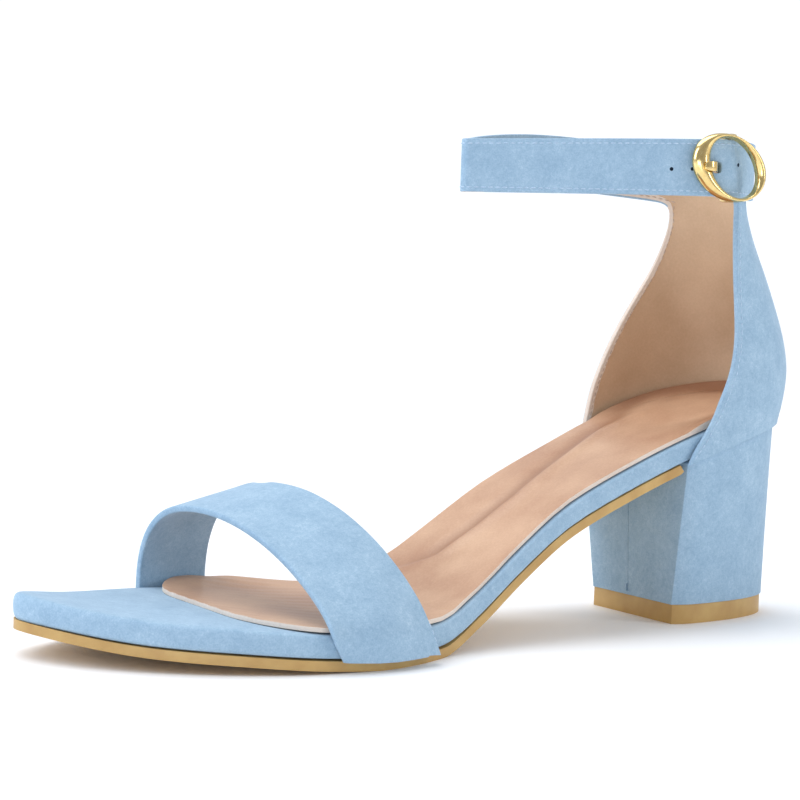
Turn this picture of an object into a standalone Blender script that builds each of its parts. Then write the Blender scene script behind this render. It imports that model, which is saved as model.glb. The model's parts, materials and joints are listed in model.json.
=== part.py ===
"""Block heel sandal for the left foot, with a band over the toes and a buckled ankle strap.

+X points to the toe, +Y to the wearer's left, which is the outer side with the buckle, +Z up.
The origin is the centre of the heel's tread, on the floor. All sizes are in metres.
"""
from collections import namedtuple
import math

import bmesh
import bpy
import numpy as np
from mathutils import Matrix, Vector

# Sizes of the sole, seen from above and from the side
SOLE_LENGTH = 0.2348
BALL_WIDTH = 0.0835
SEAT_HEIGHT = 0.0675
TOE_SPRING = 0.0069
TOE_TIP_INWARD = 0.0085
SEAT_ROUNDING = 0.0372
SEAT_ROUNDNESS = 2.11
TOE_FULLNESS = 1.3
TOE_ROUNDNESS = 0.58

# Layers of the sole, and the gap that neighbouring pieces keep
INSOLE_THICKNESS = 0.0009
FOOTBED_THICKNESS = 0.0070
OUTSOLE_THICKNESS = 0.0020
PIECE_GAP = 0.0003
INSOLE_INSET = 0.0018
OUTSOLE_INSET = 0.0010
INSOLE_FRONT = 0.1905
INSOLE_CORNER_LENGTH = 0.017
INSOLE_CORNER_WIDTH = 0.022
SEAT_CUP = 0.0022

# Sizes of the heel
TREAD_LENGTH = 0.0458
TREAD_WIDTH = 0.0388
TREAD_OUTWARD = 0.0009
TREAD_ROUNDING = 0.0440
TREAD_ROUNDNESS = 2.4
BREAST_FROM_BACK = 0.0455
BREAST_LEAN = 0.0011
BREAST_CORNER = 0.0015
HEEL_PROUD = 0.0008
TOP_PIECE_THICKNESS = 0.0054
TOP_PIECE_INSET = 0.0004

# Sizes of the uppers
UPPER_WALL = 0.0018
COUNTER_REACH = 0.050
COUNTER_LEAN = 0.0179
NECK_RADIUS = 0.0241
ANKLE_HEIGHT = 0.1223
ANKLE_STRAP_WIDTH = 0.0162
FOLD_WIDTH = 0.0149
FOLD_FORWARD = 0.1044
FOLD_INWARD = 0.0070
FOLD_RADIUS = 0.0013
FOLD_DROP = 0.0008
FAR_SIDE_LIFT = 0.0027
BUCKLE_SIDE_LIFT = 0.0007
FOLD_ARRIVES = 15.0
FOLD_LEAVES = 150.0
TAIL_LENGTH = 0.033
TAIL_GAP = 0.00048
TAIL_EASE = 0.35

# Sizes of the band over the toes, along the sole from the back of the seat
BAND_OUTER_FRONT = 0.1742
BAND_OUTER_BACK = 0.1448
BAND_OUTER_SWEEP = 0.0033
BAND_INNER_FRONT = 0.1876
BAND_INNER_BACK = 0.1660
BAND_FRONT_RISE = 0.0215
BAND_BACK_RISE = 0.0288
BAND_PEAK_INWARD = 0.0105
BAND_INNER_FULLNESS = 2.8
BAND_INNER_STEEPNESS = 2.4
BAND_OUTER_FULLNESS = 1.85
BAND_OUTER_STEEPNESS = 1.22

# Sizes of the buckle
BAR_RADIUS = 0.0010
BAR_FORWARD = 0.0378
RING_HEIGHT = 0.0026
RING_OUTER_LONG = 0.0120
RING_OUTER_SHORT = 0.0092
RING_OUTER_TILT = 23.0
RING_OUTER_LEAD = 0.0008
RING_INNER_LONG = 0.0090
RING_INNER_SHORT = 0.0061
RING_INNER_TILT = 57.0
RING_INNER_LEAD = -0.0004
RING_TURN = 15.0
POST_WIDTH = 0.0022
POST_THICKNESS = 0.0013
SLEEVE_WALL = 0.00095
PRONG_WIDTH = 0.0027
PRONG_THICKNESS = 0.0010
PRONG_HOLE_FORWARD = 0.0041
PRONG_HOLE_LENGTH = 0.0026
PRONG_LOOP_START = -292.0
PRONG_REACH = 0.0055
PRONG_ARCH = 0.0002
PRONG_TIP_WIDTH = 0.7

# Colours from the photo, as linear values
SUEDE_BLUE = (0.366, 0.558, 0.775)
SOCK_TAN = (0.651, 0.423, 0.309)
RUBBER_TAN = (0.479, 0.287, 0.077)
POLISHED_GOLD = (0.730, 0.500, 0.170)

# Sections along the footbed: place as a share of its length, half widths as shares of half the
# ball width, height of its slope as a share of the seat's rise, and share of the toe's lift
Section = namedtuple("Section", "along outer inner rise lift")
SOLE_SECTIONS = (
    Section(0.000, 0.605, 0.585, 1.000, 0.00),
    Section(0.085, 0.605, 0.585, 0.930, 0.00),
    Section(0.176, 0.605, 0.585, 0.823, 0.00),
    Section(0.276, 0.578, 0.545, 0.662, 0.00),
    Section(0.367, 0.576, 0.522, 0.493, 0.00),
    Section(0.447, 0.628, 0.532, 0.287, 0.00),
    Section(0.518, 0.715, 0.595, 0.095, 0.00),
    Section(0.578, 0.850, 0.715, 0.000, 0.00),
    Section(0.618, 0.955, 0.835, 0.000, 0.00),
    Section(0.678, 1.030, 0.935, 0.000, 0.00),
    Section(0.739, 1.005, 0.965, 0.000, 0.10),
    Section(0.819, 1.005, 0.965, 0.000, 0.31),
    Section(0.910, 1.005, 0.965, 0.000, 0.53),
    Section(1.000, 1.005, 0.965, 0.000, 1.00),
)
TOE_START = 0.739
TOE_BEND = 3.0

# Side of the wrapped footbed: depth as a share of its thickness, inset as a share of it too
Edge = namedtuple("Edge", "depth inset")
FOOTBED_EDGE = (
    Edge(1.00, 0.16),
    Edge(0.88, 0.02),
    Edge(0.34, 0.00),
    Edge(0.11, 0.07),
    Edge(0.00, 0.26),
)

# Rows of the heel counter: height as a share of its rise to the strap, back line as a share of
# the counter's lean, narrowing of its width and tightening of its round back towards the neck,
# and reach of its outer and inner front edges as shares of the counter's reach
Row = namedtuple("Row", "along back narrow tighten outer_edge inner_edge")
COUNTER_ROWS = (
    Row(0.00, 0.000, 0.00, 0.00, 0.975, 0.925),
    Row(0.06, -0.070, 0.00, 0.04, 0.898, 0.915),
    Row(0.13, -0.120, 0.00, 0.12, 0.812, 0.895),
    Row(0.22, -0.142, 0.06, 0.27, 0.725, 0.865),
    Row(0.33, -0.075, 0.20, 0.39, 0.655, 0.795),
    Row(0.45, 0.080, 0.35, 0.52, 0.632, 0.695),
    Row(0.57, 0.275, 0.50, 0.65, 0.640, 0.580),
    Row(0.69, 0.490, 0.66, 0.76, 0.648, 0.485),
    Row(0.80, 0.710, 0.80, 0.85, 0.643, 0.450),
    Row(0.90, 0.880, 0.92, 0.93, 0.628, 0.440),
    Row(1.00, 1.000, 1.00, 1.00, 0.600, 0.455),
)

# Domed section of the buckle's ring: share of the band from its outer to its inner edge, and
# height as a share of the ring's height
Dome = namedtuple("Dome", "across height")
RING_DOME = (
    Dome(0.00, 0.15),
    Dome(0.10, 0.62),
    Dome(0.32, 0.95),
    Dome(0.58, 1.00),
    Dome(0.84, 0.66),
    Dome(1.00, 0.15),
)

# Half width of the strap's rounded free end at its last three columns, as shares of the half width
TAIL_TIP = (0.93, 0.75, 0.42)

# Places worked out from the sizes
SOLE_STACK = INSOLE_THICKNESS + FOOTBED_THICKNESS + OUTSOLE_THICKNESS + 2 * PIECE_GAP
SEAT_BACK_X = TREAD_LENGTH / 2 - BREAST_FROM_BACK
BREAST_X = TREAD_LENGTH / 2
FOOTBED_DEPTH = INSOLE_THICKNESS + PIECE_GAP
OUTSOLE_DEPTH = FOOTBED_DEPTH + FOOTBED_THICKNESS + PIECE_GAP
SEAT_DEPTH = FOOTBED_DEPTH + FOOTBED_THICKNESS
SIDE_CLEARANCE = PIECE_GAP + UPPER_WALL / 2
NECK_X = SEAT_BACK_X - SIDE_CLEARANCE + COUNTER_LEAN + NECK_RADIUS
SLEEVE_RADIUS = BAR_RADIUS + PIECE_GAP + SLEEVE_WALL
CROSSING_OFFSET = SLEEVE_RADIUS + PIECE_GAP + UPPER_WALL / 2
RING_OFFSET = CROSSING_OFFSET + UPPER_WALL / 2 + PIECE_GAP
BUCKLE_HEIGHT = ANKLE_HEIGHT + ANKLE_STRAP_WIDTH / 2 + BUCKLE_SIDE_LIFT
BAR_X = SEAT_BACK_X + BAR_FORWARD
BAR_Y = math.sqrt(NECK_RADIUS ** 2 - (BAR_X - NECK_X) ** 2)
RING_FORWARD = Vector((math.cos(math.radians(RING_TURN)), -math.sin(math.radians(RING_TURN)), 0))
RING_OUTWARD = Vector((-RING_FORWARD.y, RING_FORWARD.x, 0))
BAR_POINT = Vector((BAR_X, BAR_Y, BUCKLE_HEIGHT))

# How finely the round shapes are drawn
SOLE_STATIONS = 56
HALF_POINTS = 13
COUNTER_STEPS = 13
STRAP_STEPS = 4
BAND_STEPS = 6
ARCH_STEPS = 14
TAB_STEPS = 5
FAR_STEPS = 17
FOLD_STEPS = 7
NEAR_STEPS = 18
TAIL_STEPS = 13
RING_STEPS = 40
SMOOTH_ANGLE = 35.0


def clear_scene():
    """Remove the objects that the scene starts with."""
    for item in list(bpy.data.objects):
        bpy.data.objects.remove(item, do_unlink=True)


def make_material(name, colour, roughness, metallic=0.0):
    """A plain Principled material."""
    material = bpy.data.materials.new(name)
    material.use_nodes = True
    shader = material.node_tree.nodes["Principled BSDF"]
    shader.inputs["Base Color"].default_value = (*colour, 1.0)
    shader.inputs["Roughness"].default_value = roughness
    shader.inputs["Metallic"].default_value = metallic
    return material


def curve_value(rows, column, along):
    """Smooth curve through one column of a table, which never overshoots its rows."""
    place = np.array([row.along for row in rows])
    value = np.array([getattr(row, column) for row in rows])
    step = np.diff(place)
    slope = np.diff(value) / step
    tangent = np.zeros(len(place))
    tangent[0] = slope[0]
    tangent[-1] = slope[-1]
    for i in range(1, len(place) - 1):
        if slope[i - 1] * slope[i] > 0:
            before = 2 * step[i] + step[i - 1]
            after = step[i] + 2 * step[i - 1]
            tangent[i] = (before + after) / (before / slope[i - 1] + after / slope[i])
    along = np.clip(np.asarray(along, dtype=float), place[0], place[-1])
    k = np.clip(np.searchsorted(place, along, side="right") - 1, 0, len(step) - 1)
    u = (along - place[k]) / step[k]
    return (value[k] * (1 + 2 * u) * (1 - u) ** 2 + value[k + 1] * u ** 2 * (3 - 2 * u)
            + step[k] * (tangent[k] * u * (1 - u) ** 2 - tangent[k + 1] * u ** 2 * (1 - u)))


def share_of_length(x):
    """Place along the sole as a share of its length."""
    return (np.asarray(x, dtype=float) - SEAT_BACK_X) / SOLE_LENGTH


def half_widths(along):
    """Half widths of the footbed to the outer and the inner side."""
    along = np.clip(np.asarray(along, dtype=float), 0, 1)
    body = np.minimum(along, TOE_START)
    seat_share = SEAT_ROUNDING / SOLE_LENGTH
    back = np.clip((seat_share - along) / seat_share, 0, 1)
    seat = (1 - back ** SEAT_ROUNDNESS) ** (1 / SEAT_ROUNDNESS)
    outer = BALL_WIDTH / 2 * curve_value(SOLE_SECTIONS, "outer", body) * seat
    inner = BALL_WIDTH / 2 * curve_value(SOLE_SECTIONS, "inner", body) * seat
    toe = np.clip((along - TOE_START) / (1 - TOE_START), 0, 1)
    half = (outer + inner) / 2 * (1 - toe ** TOE_FULLNESS) ** TOE_ROUNDNESS
    middle = (outer - inner) / 2
    middle = middle - (TOE_TIP_INWARD + middle) * toe ** TOE_BEND
    in_toe = along > TOE_START
    return np.where(in_toe, half + middle, outer), np.where(in_toe, half - middle, inner)


def sole_height(x):
    """Height of the insole's top at a place along the sole."""
    along = share_of_length(x)
    rise = (SEAT_HEIGHT - SOLE_STACK) * curve_value(SOLE_SECTIONS, "rise", along)
    return SOLE_STACK + rise + TOE_SPRING * curve_value(SOLE_SECTIONS, "lift", along)


def round_spacing(count):
    """Numbers from 0 to 1, closer together at both ends."""
    return (1 - np.cos(np.linspace(0, math.pi, count))) / 2


def spread(points, count):
    """Points at equal distances along a polyline."""
    points = np.asarray(points, dtype=float)
    length = np.concatenate([[0], np.cumsum(np.linalg.norm(np.diff(points, axis=0), axis=1))])
    places = np.linspace(0, length[-1], count)
    columns = [np.interp(places, length, points[:, k]) for k in range(points.shape[1])]
    return np.column_stack(columns)


def move_outward(ring, distance):
    """Shift a closed plan outline, drawn clockwise from above, along its own normals."""
    ring = np.asarray(ring, dtype=float)
    run = np.roll(ring, -1, axis=0) - np.roll(ring, 1, axis=0)
    normal = np.column_stack([-run[:, 1], run[:, 0]])
    normal /= np.linalg.norm(normal, axis=1)[:, None]
    return ring + normal * distance


def add_ring(mesh, points):
    """Add a row of points to a mesh."""
    return [mesh.verts.new(tuple(float(c) for c in point)) for point in points]


def add_face(mesh, corners):
    """Add a face, leaving out a corner that is named twice."""
    kept = []
    for corner in corners:
        if corner not in kept:
            kept.append(corner)
    if len(kept) > 2:
        mesh.faces.new(kept)


def bridge(mesh, first, second, closed=True):
    """Join two rows of points with faces."""
    count = len(first)
    for i in range(count if closed else count - 1):
        j = (i + 1) % count
        add_face(mesh, (first[i], first[j], second[j], second[i]))


def cap_across(mesh, ring, stations, pointed_back):
    """Close an outline with strips from its outer to its inner side."""
    left = ring[:stations]
    right = ([ring[0]] if pointed_back else []) + ring[stations:][::-1]
    if len(right) < stations:
        right.append(ring[stations - 1])
    for i in range(stations - 1):
        add_face(mesh, (left[i], left[i + 1], right[i + 1], right[i]))


def finish(mesh, name, material):
    """Turn a closed bmesh into an object with its faces pointing out."""
    bmesh.ops.remove_doubles(mesh, verts=mesh.verts, dist=1e-6)
    bmesh.ops.recalc_face_normals(mesh, faces=mesh.faces)
    data = bpy.data.meshes.new(name)
    mesh.to_mesh(data)
    mesh.free()
    return place_object(data, name, material)


def place_object(data, name, material):
    """Put a mesh in the scene, shaded smooth but for its sharp edges."""
    data.materials.append(material)
    data.shade_smooth()
    data.set_sharp_from_angle(angle=math.radians(SMOOTH_ANGLE))
    item = bpy.data.objects.new(name, data)
    bpy.context.scene.collection.objects.link(item)
    return item


def apply_boolean(item, tool, operation):
    """Cut or join a solid with another and remove the tool."""
    modifier = item.modifiers.new("boolean", "BOOLEAN")
    modifier.operation = operation
    modifier.solver = "EXACT"
    modifier.object = tool
    bpy.context.view_layer.update()
    graph = bpy.context.evaluated_depsgraph_get()
    result = bpy.data.meshes.new_from_object(item.evaluated_get(graph))
    item.modifiers.clear()
    item.data = result
    bpy.data.objects.remove(tool, do_unlink=True)


def plan_outline(shares, inset):
    """Outline of the footbed, from the back to the toe on the outer side and back again."""
    outer, inner = half_widths(shares)
    x = SEAT_BACK_X + shares * SOLE_LENGTH
    left = np.column_stack([x, outer])
    right = np.column_stack([x, -inner])[::-1]
    pointed_back = outer[0] + inner[0] < 1e-9
    ring = np.vstack([left, right[1:-1] if pointed_back else right[1:]])
    return move_outward(ring, -inset)


def footbed(material):
    """The wrapped board: a flat top and a side with a soft upper edge."""
    shares = round_spacing(SOLE_STATIONS)
    mesh = bmesh.new()
    rings = []
    for edge in FOOTBED_EDGE:
        outline = plan_outline(shares, edge.inset * FOOTBED_THICKNESS)
        depth = FOOTBED_DEPTH + edge.depth * FOOTBED_THICKNESS
        rings.append(add_ring(mesh, np.column_stack([outline, sole_height(outline[:, 0]) - depth])))
    for lower, upper in zip(rings, rings[1:]):
        bridge(mesh, lower, upper)
    cap_across(mesh, rings[0], SOLE_STATIONS, True)
    cap_across(mesh, rings[-1], SOLE_STATIONS, True)
    return finish(mesh, "footbed", material)


def outsole(material):
    """The thin sheet from the heel's breast to the toe."""
    breast_share = float(share_of_length(BREAST_X + BREAST_LEAN + PIECE_GAP + OUTSOLE_INSET))
    shares = breast_share + (1 - breast_share) * round_spacing(SOLE_STATIONS)
    ground = [row.along for row in SOLE_SECTIONS if row.rise == 0 and row.lift == 0]
    shares = np.unique(np.concatenate([shares, [ground[0], ground[-1]]]))
    outline = plan_outline(shares, OUTSOLE_INSET)
    height = sole_height(outline[:, 0])
    mesh = bmesh.new()
    top = add_ring(mesh, np.column_stack([outline, height - OUTSOLE_DEPTH]))
    bottom = add_ring(mesh, np.column_stack([outline, height - SOLE_STACK]))
    bridge(mesh, bottom, top)
    cap_across(mesh, bottom, len(shares), False)
    cap_across(mesh, top, len(shares), False)
    return finish(mesh, "outsole", material)


def insole_outline(count):
    """Outline of the sock: inside the footbed's edge, its blunt front short of the toe."""
    front = INSOLE_FRONT / SOLE_LENGTH
    shares = front * round_spacing(count)
    outer, inner = half_widths(shares)
    start = front - INSOLE_CORNER_LENGTH / SOLE_LENGTH
    ahead = np.clip((shares - start) / (front - start), 0, 1)
    corner = INSOLE_CORNER_WIDTH * (1 - np.sqrt(1 - ahead ** 2))
    x = SEAT_BACK_X + shares * SOLE_LENGTH
    left = np.column_stack([x, outer - corner])
    right = np.column_stack([x, corner - inner])[::-1]
    return move_outward(np.vstack([left, right[:-1]]), -INSOLE_INSET)


def insole(material):
    """The thin tan sock on the footbed, cupped up at the rim of the seat."""
    outline = insole_outline(SOLE_STATIONS)
    height = sole_height(outline[:, 0])
    seat = np.clip(1 - (outline[:, 0] - SEAT_BACK_X) / BREAST_FROM_BACK, 0, 1)
    cup = SEAT_CUP * np.sin(seat * math.pi / 2) ** 0.5
    inner_ring = move_outward(outline, -2 * SEAT_CUP)
    mesh = bmesh.new()
    bottom = add_ring(mesh, np.column_stack([outline, height - INSOLE_THICKNESS]))
    top = add_ring(mesh, np.column_stack([outline, height + cup]))
    flat = add_ring(mesh, np.column_stack([inner_ring, sole_height(inner_ring[:, 0])]))
    bridge(mesh, bottom, top)
    bridge(mesh, top, flat)
    cap_across(mesh, bottom, SOLE_STATIONS, True)
    cap_across(mesh, flat, SOLE_STATIONS, True)
    return finish(mesh, "insole", material)


def heel_half(side, breast_x, back_x, rounding, half_width, roundness):
    """Half of a heel section, from the middle of its breast round to the middle of its back."""
    corner = [(breast_x - BREAST_CORNER * (1 - math.cos(a)), BREAST_CORNER * (math.sin(a) - 1))
              for a in np.linspace(0, math.pi / 2, 4)]
    start = back_x + rounding
    x = np.concatenate([np.linspace(breast_x - BREAST_CORNER, start, 8)[1:],
                        start - rounding * np.sin(np.linspace(0, math.pi / 2, 24))[1:]])
    back = np.clip((start - x) / rounding, 0, 1)
    y = half_width(x) * (1 - back ** roundness) ** (1 / roundness)
    first = half_width(np.array([breast_x]))[0]
    points = [(px, first + py) for px, py in corner] + list(zip(x, y))
    points = spread(points, HALF_POINTS)
    points[:, 1] *= side
    return points


def heel_section(up):
    """Closed plan outline of the heel: 0 is the tread and 1 the seat."""
    halves = []
    for side, column in ((1, 0), (-1, 1)):
        tread = heel_half(side, BREAST_X, BREAST_X - TREAD_LENGTH, TREAD_ROUNDING,
                          lambda x: np.full(len(x), TREAD_WIDTH / 2), TREAD_ROUNDNESS)
        tread[:, 1] += TREAD_OUTWARD

        def seat_width(x, column=column):
            share = np.maximum(share_of_length(x), SEAT_ROUNDING / SOLE_LENGTH)
            return half_widths(share)[column] + HEEL_PROUD

        seat = heel_half(side, BREAST_X + BREAST_LEAN, SEAT_BACK_X - HEEL_PROUD,
                         SEAT_ROUNDING + HEEL_PROUD, seat_width, SEAT_ROUNDNESS)
        halves.append(tread + (seat - tread) * up)
    return np.vstack([halves[0][::-1], halves[1][:-1]])


def cap_heel(mesh, ring):
    """Close a heel section with strips from side to side."""
    left = ring[:HALF_POINTS]
    right = [ring[0]] + ring[HALF_POINTS:][::-1]
    for i in range(HALF_POINTS - 1):
        add_face(mesh, (left[i], left[i + 1], right[i + 1], right[i]))


def heel_block(material):
    """The covered heel, from the top piece up to the sloping seat."""
    mesh = bmesh.new()
    rings = []
    bottom = TOP_PIECE_THICKNESS + PIECE_GAP
    for up in np.linspace(0, 1, 6):
        outline = move_outward(heel_section(up), TOP_PIECE_INSET * (1 - up))
        seat = sole_height(outline[:, 0]) - SEAT_DEPTH - PIECE_GAP
        rings.append(add_ring(mesh, np.column_stack([outline, bottom + (seat - bottom) * up])))
    for lower, upper in zip(rings, rings[1:]):
        bridge(mesh, lower, upper)
    cap_heel(mesh, rings[0])
    cap_heel(mesh, rings[-1])
    return finish(mesh, "heel_block", material)


def heel_top_piece(material):
    """The tread under the heel."""
    outline = heel_section(0)
    mesh = bmesh.new()
    bottom = add_ring(mesh, np.column_stack([outline, np.zeros(len(outline))]))
    top = add_ring(mesh, np.column_stack([outline, np.full(len(outline), TOP_PIECE_THICKNESS)]))
    bridge(mesh, bottom, top)
    cap_heel(mesh, bottom)
    cap_heel(mesh, top)
    return finish(mesh, "heel_top_piece", material)


def counter_curve(up, side, front_x):
    """Middle of the counter's wall at a share of its height, from a front place to the back."""
    narrow = curve_value(COUNTER_ROWS, "narrow", up)
    tighten = curve_value(COUNTER_ROWS, "tighten", up)
    back_x = SEAT_BACK_X - SIDE_CLEARANCE + COUNTER_LEAN * curve_value(COUNTER_ROWS, "back", up)
    seat_share = SEAT_ROUNDING / SOLE_LENGTH
    seat_width = half_widths(seat_share)[0 if side > 0 else 1] + SIDE_CLEARANCE
    width = seat_width + (NECK_RADIUS - seat_width) * narrow
    seat_round = SEAT_ROUNDING + SIDE_CLEARANCE
    rounding = seat_round + (NECK_RADIUS - seat_round) * tighten
    roundness = SEAT_ROUNDNESS + (2.0 - SEAT_ROUNDNESS) * tighten
    turn = np.linspace(0, math.pi / 2, 40)
    x = back_x + rounding * (1 - np.cos(turn) ** (2 / roundness))
    y = width * np.sin(turn) ** (2 / roundness)
    points = np.column_stack([x, y])
    points = np.vstack([points, [(max(front_x, x[-1]) + 0.02, width)]])
    keep = points[points[:, 0] < front_x]
    end_y = np.interp(front_x, points[:, 0], points[:, 1])
    points = np.vstack([keep, [(front_x, end_y)]])[::-1]
    points[:, 1] *= side
    return points


def counter_row(up):
    """A row of the counter from its outer front edge round the back to its inner front edge."""
    edges = []
    for side, column in ((1, "outer_edge"), (-1, "inner_edge")):
        front_x = SEAT_BACK_X + COUNTER_REACH * float(curve_value(COUNTER_ROWS, column, up))
        edges.append(spread(counter_curve(up, side, front_x), HALF_POINTS))
    plan = np.vstack([edges[0], edges[1][::-1][1:]])
    seat = sole_height(plan[:, 0]) - SEAT_DEPTH
    return np.column_stack([plan, seat + (ANKLE_HEIGHT - seat) * up])


def bezier(start, start_pull, end_pull, end, count):
    """Points along a cubic curve."""
    t = np.linspace(0, 1, count)[:, None]
    points = [np.asarray(p, dtype=float) for p in (start, start_pull, end_pull, end)]
    return ((1 - t) ** 3 * points[0] + 3 * t * (1 - t) ** 2 * points[1]
            + 3 * t ** 2 * (1 - t) * points[2] + t ** 3 * points[3])


def heading(degrees):
    """Unit direction in plan."""
    return np.array([math.cos(math.radians(degrees)), math.sin(math.radians(degrees))])


def tab_path():
    """From the buckle's bar back along the neck to the counter's outer edge."""
    edge_x = SEAT_BACK_X + COUNTER_REACH * COUNTER_ROWS[-1].outer_edge
    curve = counter_curve(1.0, 1, BAR_X)
    ahead = curve[curve[:, 0] > edge_x + 0.001]
    return spread(np.vstack([ahead, counter_curve(1.0, 1, edge_x)[:1]]), TAB_STEPS)[:-1]


def loop_path():
    """From the counter's inner edge forward, round the fold, and back to the buckle's bar."""
    edge_x = SEAT_BACK_X + COUNTER_REACH * COUNTER_ROWS[-1].inner_edge
    neck = counter_curve(1.0, -1, NECK_X)[::-1]
    neck = np.vstack([counter_curve(1.0, -1, edge_x)[:1], neck[neck[:, 0] > edge_x + 0.001]])
    fold = np.array([SEAT_BACK_X + FOLD_FORWARD, -FOLD_INWARD])
    fold_start = fold + FOLD_RADIUS * heading(FOLD_ARRIVES - 90)
    fold_end = fold + FOLD_RADIUS * heading(FOLD_LEAVES - 90)
    crossing = np.array(BAR_POINT[:2]) + CROSSING_OFFSET * np.array(RING_OUTWARD[:2])
    reach = np.linalg.norm(crossing - fold) / 3
    far = bezier(neck[-1], neck[-1] + heading(0) * reach,
                 fold_start - heading(FOLD_ARRIVES) * reach, fold_start, 12)
    turn = np.array([fold + FOLD_RADIUS * heading(angle - 90)
                     for angle in np.linspace(FOLD_ARRIVES, FOLD_LEAVES, FOLD_STEPS)[1:]])
    near = bezier(fold_end, fold_end + heading(FOLD_LEAVES) * reach,
                  crossing + heading(-RING_TURN) * reach, crossing, 40)
    return spread(np.vstack([neck, far[1:]]), FAR_STEPS)[1:], turn, spread(near, NEAR_STEPS)[1:]


def tail_path():
    """The free end of the strap, from the bar round the outside of the neck."""
    centre = np.array([NECK_X, 0.0])
    crossing = np.array(BAR_POINT[:2]) + CROSSING_OFFSET * np.array(RING_OUTWARD[:2])
    start = math.degrees(math.atan2(*(crossing - centre)[::-1]))
    first = np.linalg.norm(crossing - centre)
    last = NECK_RADIUS + UPPER_WALL + TAIL_GAP
    sweep = math.degrees(TAIL_LENGTH / last)
    points = []
    for share in np.linspace(0, 1, TAIL_STEPS)[1:]:
        ease = min(share / TAIL_EASE, 1.0)
        radius = first + (last - first) * ease * ease * (3 - 2 * ease)
        points.append(centre + radius * heading(start + sweep * share))
    return np.array(points)


def strap_edges(far, turn, near, tail):
    """Heights of the loop's lower and upper edge at each of its columns."""
    away = np.linspace(0, 1, len(far) + 1)[1:]
    back = np.linspace(0, 1, len(near) + 1)[1:]
    lift = np.concatenate([FAR_SIDE_LIFT * np.sin(away * math.pi) ** 0.7 - FOLD_DROP * away ** 2,
                           np.full(len(turn), -FOLD_DROP),
                           (BUCKLE_SIDE_LIFT + FOLD_DROP) * back - FOLD_DROP,
                           np.full(len(tail), BUCKLE_SIDE_LIFT)])
    narrow = np.concatenate([away ** 2, np.full(len(turn), 1.0), 1 - back, np.zeros(len(tail))])
    width = ANKLE_STRAP_WIDTH - (ANKLE_STRAP_WIDTH - FOLD_WIDTH) * narrow
    return ANKLE_HEIGHT + lift, ANKLE_HEIGHT + lift + width


def upper_sheet():
    """Middle sheet of the counter and the ankle strap, as one T-shaped grid of faces."""
    mesh = bmesh.new()
    rows = [add_ring(mesh, counter_row(up)) for up in np.linspace(0, 1, COUNTER_STEPS + 1)]
    for lower, upper in zip(rows, rows[1:]):
        bridge(mesh, lower, upper, closed=False)
    neck = [tuple(vertex.co) for vertex in rows[-1]]
    tab = tab_path()
    far, turn, near = loop_path()
    tail = tail_path()
    loop = np.vstack([far, turn, near, tail])
    lows, highs = strap_edges(far, turn, near, tail)
    tips = [1.0] * (len(loop) - len(TAIL_TIP)) + list(TAIL_TIP)
    tab_lift = np.linspace(BUCKLE_SIDE_LIFT, 0, len(tab) + 1)[:-1]
    columns = []
    for (x, y), lift in zip(tab, tab_lift):
        low = ANKLE_HEIGHT + lift
        columns.append(strap_column(mesh, x, y, low, low + ANKLE_STRAP_WIDTH, 1.0))
    for vertex, (x, y, z) in zip(rows[-1], neck):
        columns.append([vertex] + strap_column(mesh, x, y, z, z + ANKLE_STRAP_WIDTH, 1.0)[1:])
    for (x, y), low, high, tip in zip(loop, lows, highs, tips):
        columns.append(strap_column(mesh, x, y, low, high, tip))
    for first, second in zip(columns, columns[1:]):
        bridge(mesh, first, second, closed=False)
    loose = [vertex for vertex in mesh.verts if not vertex.link_faces]
    bmesh.ops.delete(mesh, geom=loose, context="VERTS")
    return mesh


def strap_column(mesh, x, y, low, high, tip):
    """One column of points across the strap's width, shorter where its end is rounded."""
    middle = (low + high) / 2
    half = (high - low) / 2 * tip
    heights = np.linspace(middle - half, middle + half, STRAP_STEPS + 1)
    return add_ring(mesh, [(x, y, z) for z in heights])


def wall_object(mesh, name, material, offset):
    """Give a sheet the thickness of the upper's wall."""
    bmesh.ops.recalc_face_normals(mesh, faces=mesh.faces)
    data = bpy.data.meshes.new(name)
    mesh.to_mesh(data)
    mesh.free()
    item = place_object(data, name, material)
    modifier = item.modifiers.new("wall", "SOLIDIFY")
    modifier.thickness = UPPER_WALL
    modifier.offset = offset
    modifier.use_even_offset = True
    bpy.context.view_layer.update()
    graph = bpy.context.evaluated_depsgraph_get()
    result = bpy.data.meshes.new_from_object(item.evaluated_get(graph))
    item.modifiers.clear()
    item.data = result
    return item


def buckle_place(forward, outward, up):
    """A point in the buckle's own directions, measured from the middle of its bar."""
    return BAR_POINT + RING_FORWARD * forward + RING_OUTWARD * outward + Vector((0, 0, up))


def block(name, forward, outward, up):
    """A box between pairs of places in the buckle's own directions."""
    mesh = bmesh.new()
    corners = [mesh.verts.new(buckle_place(f, o, u)) for f in forward for o in outward for u in up]
    for face in ((0, 1, 3, 2), (4, 6, 7, 5), (0, 4, 5, 1), (2, 3, 7, 6), (0, 2, 6, 4), (1, 5, 7, 3)):
        mesh.faces.new([corners[i] for i in face])
    bmesh.ops.recalc_face_normals(mesh, faces=mesh.faces)
    data = bpy.data.meshes.new(name)
    mesh.to_mesh(data)
    mesh.free()
    item = bpy.data.objects.new(name, data)
    bpy.context.scene.collection.objects.link(item)
    return item


def rod(name, radius, low, high, sides=24):
    """An upright cylinder on the line of the buckle's bar."""
    mesh = bmesh.new()
    middle = BAR_POINT + Vector((0, 0, (low + high) / 2))
    bmesh.ops.create_cone(mesh, cap_ends=True, segments=sides, radius1=radius, radius2=radius,
                          depth=high - low, matrix=Matrix.Translation(middle))
    data = bpy.data.meshes.new(name)
    mesh.to_mesh(data)
    mesh.free()
    item = bpy.data.objects.new(name, data)
    bpy.context.scene.collection.objects.link(item)
    return item


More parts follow.
